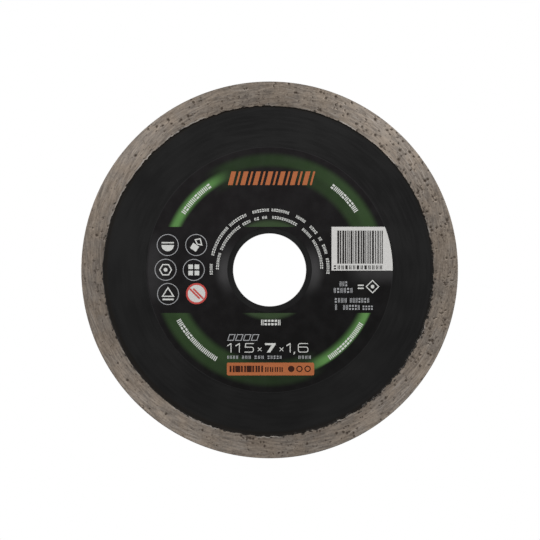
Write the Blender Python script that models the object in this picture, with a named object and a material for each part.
"""Continuous-rim diamond blade for tiles: 115 mm across, 22.23 mm bore, 7 x 1.6 mm rim.

The blade stands upright. Its axis is Y, its labelled front faces -Y, +Z is up, and the
origin is the centre of the bore, halfway through the thickness. It is three solids:

steel_core     a steel disc with a broken edge round its bore and a toothed outer edge
diamond_rim    the sintered ring, grooved inside so that it grips the toothed edge
front_label    the round film label on the front of the core

Every solid is one closed section carried round the axis. A section is a list of rows,
each with one radius for every step round the axis and one place along Y, so the toothed
edge of the core and the groove of the rim are the same shape a clearance apart.
"""

import math

import bmesh
import bpy

MM = 0.001

# Driving dimensions
BLADE_RADIUS = 115 * MM / 2
BORE_RADIUS = 22.23 * MM / 2
RIM_HEIGHT = 7 * MM
RIM_THICKNESS = 1.6 * MM
CORE_THICKNESS = 1.2 * MM
LABEL_RADIUS = 37.6 * MM
LABEL_HOLE_RADIUS = 12.9 * MM
LABEL_THICKNESS = 0.1 * MM

# The joint between core and rim
TEETH = 36
TOOTH_HEIGHT = 1.0 * MM
TONGUE_THICKNESS = 1.1 * MM
TONGUE_ROOT_RADIUS = 51.4 * MM
LIP_SLOPE = 0.33 * MM

# Broken edges, and the clearances that keep the solids apart
BORE_CHAMFER = 0.1 * MM
RIM_CHAMFER = 0.12 * MM
FACE_CLEARANCE = 0.02 * MM
EDGE_CLEARANCE = 0.05 * MM

STEPS_PER_TOOTH = 4
STEPS = TEETH * STEPS_PER_TOOTH

# Derived places
FLANK_INNER_RADIUS = BLADE_RADIUS - RIM_HEIGHT
SHOULDER_RADIUS = FLANK_INNER_RADIUS - LIP_SLOPE - FACE_CLEARANCE


def clear_scene():
    for obj in list(bpy.data.objects):
        bpy.data.objects.remove(obj, do_unlink=True)


def metal(name, colour, roughness, metallic):
    """A Principled material with one colour."""
    material = bpy.data.materials.new(name)
    material.use_nodes = True
    shader = material.node_tree.nodes["Principled BSDF"]
    shader.inputs["Base Color"].default_value = (*colour, 1)
    shader.inputs["Roughness"].default_value = roughness
    shader.inputs["Metallic"].default_value = metallic
    return material


def plain(radius):
    """The same radius at every step."""
    return [radius] * STEPS


def toothed(root_radius):
    """Tip, tip, root, root at every tooth: flat tips and roots joined by sloping flanks."""
    tip_radius = root_radius + TOOTH_HEIGHT
    return [tip_radius if step % STEPS_PER_TOOTH < 2 else root_radius for step in range(STEPS)]


def turned_solid(name, rows, material):
    """The closed solid made by joining each row of the section to the next, all the way round."""
    bm = bmesh.new()
    rings = []
    for radii, y in rows:
        ring = []
        for step, radius in enumerate(radii):
            angle = 2 * math.pi * step / STEPS
            ring.append(bm.verts.new((radius * math.cos(angle), y, radius * math.sin(angle))))
        rings.append(ring)
    for ring, following in zip(rings, rings[1:] + rings[:1]):
        for step in range(STEPS):
            after = (step + 1) % STEPS
            bm.faces.new((ring[step], ring[after], following[after], following[step]))
    bmesh.ops.recalc_face_normals(bm, faces=bm.faces)
    mesh = bpy.data.meshes.new(name)
    bm.to_mesh(mesh)
    bm.free()
    mesh.materials.append(material)
    mesh.shade_smooth()
    mesh.set_sharp_from_angle(angle=math.radians(30))
    solid = bpy.data.objects.new(name, mesh)
    bpy.context.scene.collection.objects.link(solid)
    return solid


def both_faces(front_rows):
    """A section symmetric about Y = 0: the front rows, then their mirror images in reverse."""
    return front_rows + [(radii, -y) for radii, y in reversed(front_rows)]


def steel_core():
    """The disc. Its edge steps down to a thinner toothed tongue, which the rim is sintered onto."""
    face = -CORE_THICKNESS / 2
    tongue = -TONGUE_THICKNESS / 2
    front = [
        (plain(BORE_RADIUS), face + BORE_CHAMFER),
        (plain(BORE_RADIUS + BORE_CHAMFER), face),
        (plain(SHOULDER_RADIUS), face),
        (plain(SHOULDER_RADIUS), tongue),
        (toothed(TONGUE_ROOT_RADIUS), tongue),
    ]
    lacquer = metal("black_lacquered_steel", (0.015, 0.015, 0.016), 0.38, 0.0)
    return turned_solid("steel_core", both_faces(front), lacquer)


def diamond_rim():
    """The ring. Its lips slope down to the core's face, and its groove takes the tongue."""
    flank = -RIM_THICKNESS / 2
    groove = -TONGUE_THICKNESS / 2 - FACE_CLEARANCE
    front = [
        (toothed(TONGUE_ROOT_RADIUS + EDGE_CLEARANCE), groove),
        (plain(SHOULDER_RADIUS + FACE_CLEARANCE), groove),
        (plain(FLANK_INNER_RADIUS), flank),
        (plain(BLADE_RADIUS - RIM_CHAMFER), flank),
        (plain(BLADE_RADIUS), flank + RIM_CHAMFER),
    ]
    bond = metal("sintered_bond", (0.2, 0.165, 0.135), 0.6, 0.6)
    return turned_solid("diamond_rim", both_faces(front), bond)


def front_label():
    """The thin film ring that lies on the front of the core, round the bore."""
    inner_face = -CORE_THICKNESS / 2 - FACE_CLEARANCE
    outer_face = inner_face - LABEL_THICKNESS
    section = [
        (plain(LABEL_HOLE_RADIUS), inner_face),
        (plain(LABEL_HOLE_RADIUS), outer_face),
        (plain(LABEL_RADIUS), outer_face),
        (plain(LABEL_RADIUS), inner_face),
    ]
    film = metal("printed_film", (0.02, 0.03, 0.018), 0.25, 0.0)
    return turned_solid("front_label", section, film)


def main():
    clear_scene()
    steel_core()
    diamond_rim()
    front_label()


main()
